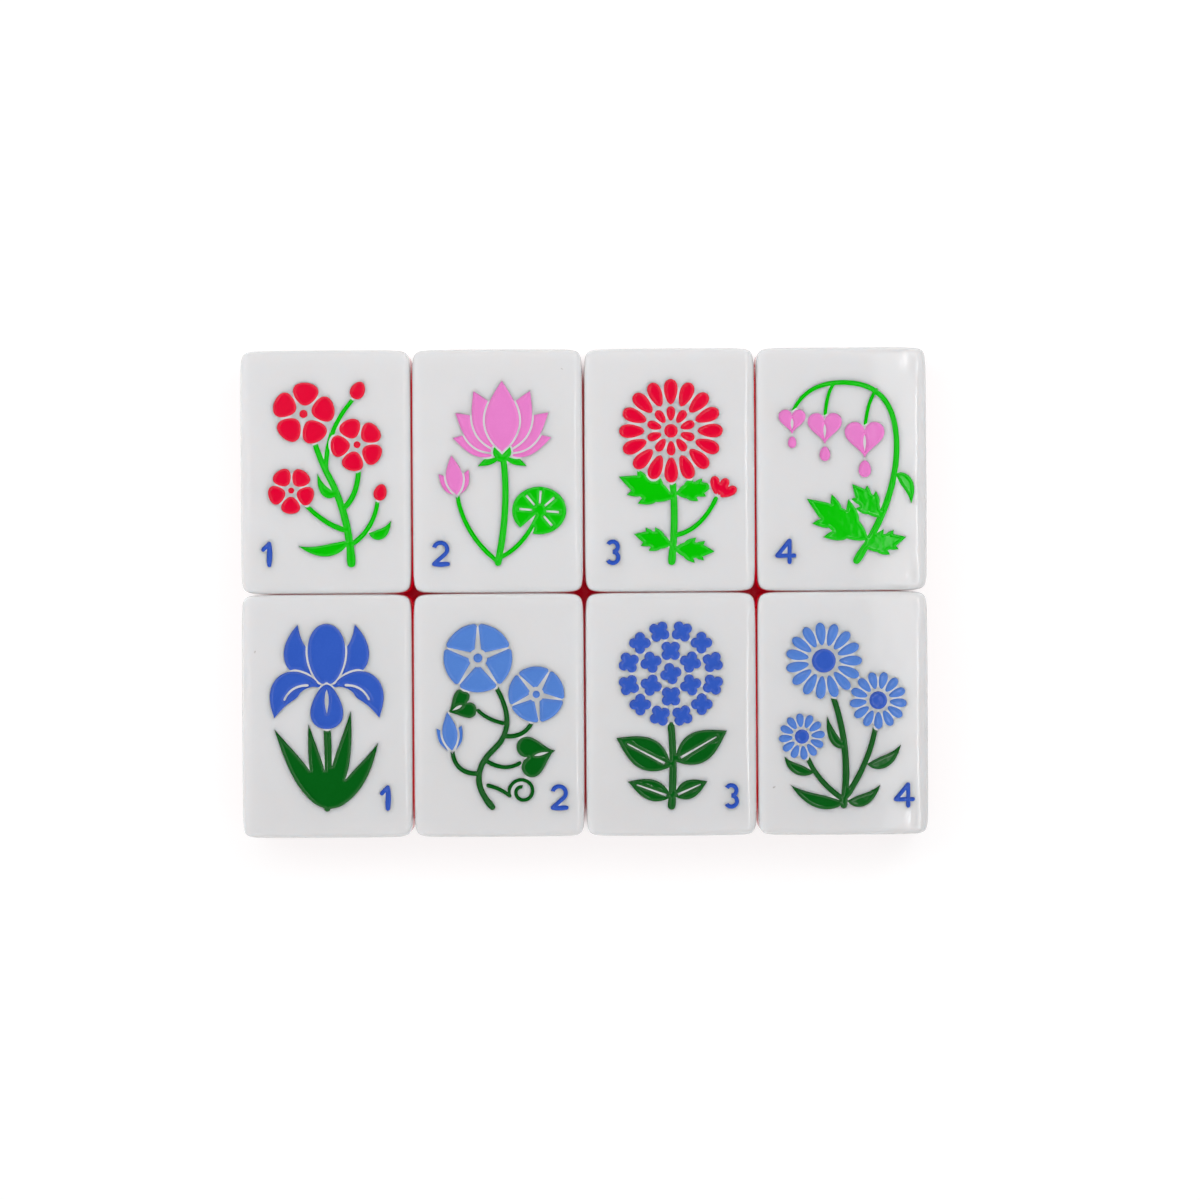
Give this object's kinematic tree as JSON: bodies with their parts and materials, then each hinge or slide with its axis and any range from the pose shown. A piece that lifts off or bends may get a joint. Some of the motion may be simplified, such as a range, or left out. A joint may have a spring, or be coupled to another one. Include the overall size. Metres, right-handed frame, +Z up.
{
  "type": "mahjong tile set",
  "caption": "Two-tone mahjong flower and season tiles laid face up in two rows, each a white front bonded to a red back with engraved, enamel-filled flowers and a numeral.",
  "frame": {"origin": "middle of the layout, on the plane of the tiles' backs", "axes": "+X along a row of four tiles, +Y towards the top of the designs, +Z up out of the faces"},
  "size_m": [0.0862, 0.0612, 0.014],
  "materials": {
    "face_white": "polished white plastic",
    "back_red": "polished red plastic",
    "enamel_red": "gloss enamel",
    "enamel_pink": "gloss enamel",
    "enamel_green": "gloss enamel",
    "enamel_dark_green": "gloss enamel",
    "enamel_blue": "gloss enamel",
    "enamel_light_blue": "gloss enamel"
  },
  "bodies": {
    "flower_1": {"flower_1_face": "face_white", "flower_1_back": "back_red", "flower_1_bloom": "enamel_red", "flower_1_foliage": "enamel_green", "flower_1_numeral": "enamel_blue"},
    "flower_2": {"flower_2_face": "face_white", "flower_2_back": "back_red", "flower_2_bloom": "enamel_pink", "flower_2_foliage": "enamel_green", "flower_2_numeral": "enamel_blue"},
    "flower_3": {"flower_3_face": "face_white", "flower_3_back": "back_red", "flower_3_bloom": "enamel_red", "flower_3_foliage": "enamel_green", "flower_3_numeral": "enamel_blue"},
    "flower_4": {"flower_4_face": "face_white", "flower_4_back": "back_red", "flower_4_bloom": "enamel_pink", "flower_4_foliage": "enamel_green", "flower_4_numeral": "enamel_blue"},
    "season_1": {"season_1_face": "face_white", "season_1_back": "back_red", "season_1_bloom": "enamel_blue", "season_1_foliage": "enamel_dark_green", "season_1_numeral": "enamel_blue"},
    "season_2": {"season_2_face": "face_white", "season_2_back": "back_red", "season_2_bloom": "enamel_light_blue", "season_2_foliage": "enamel_dark_green", "season_2_numeral": "enamel_blue"},
    "season_3": {"season_3_face": "face_white", "season_3_back": "back_red", "season_3_bloom": "enamel_blue", "season_3_foliage": "enamel_dark_green", "season_3_numeral": "enamel_blue"},
    "season_4": {"season_4_face": "face_white", "season_4_back": "back_red", "season_4_bloom": "enamel_light_blue", "season_4_foliage": "enamel_dark_green", "season_4_numeral": "enamel_blue", "season_4_centre": "enamel_blue"}
  },
  "joints": [
    {"name": "flower_2_lift", "type": "slide", "parent": "flower_1", "child": "flower_2", "axis": [0, 0, 1], "range_m": [0, 0.03]},
    {"name": "flower_3_lift", "type": "slide", "parent": "flower_1", "child": "flower_3", "axis": [0, 0, 1], "range_m": [0, 0.03]},
    {"name": "flower_4_lift", "type": "slide", "parent": "flower_1", "child": "flower_4", "axis": [0, 0, 1], "range_m": [0, 0.03]},
    {"name": "season_1_lift", "type": "slide", "parent": "flower_1", "child": "season_1", "axis": [0, 0, 1], "range_m": [0, 0.03]},
    {"name": "season_2_lift", "type": "slide", "parent": "flower_1", "child": "season_2", "axis": [0, 0, 1], "range_m": [0, 0.03]},
    {"name": "season_3_lift", "type": "slide", "parent": "flower_1", "child": "season_3", "axis": [0, 0, 1], "range_m": [0, 0.03]},
    {"name": "season_4_lift", "type": "slide", "parent": "flower_1", "child": "season_4", "axis": [0, 0, 1], "range_m": [0, 0.03]}
  ]
}
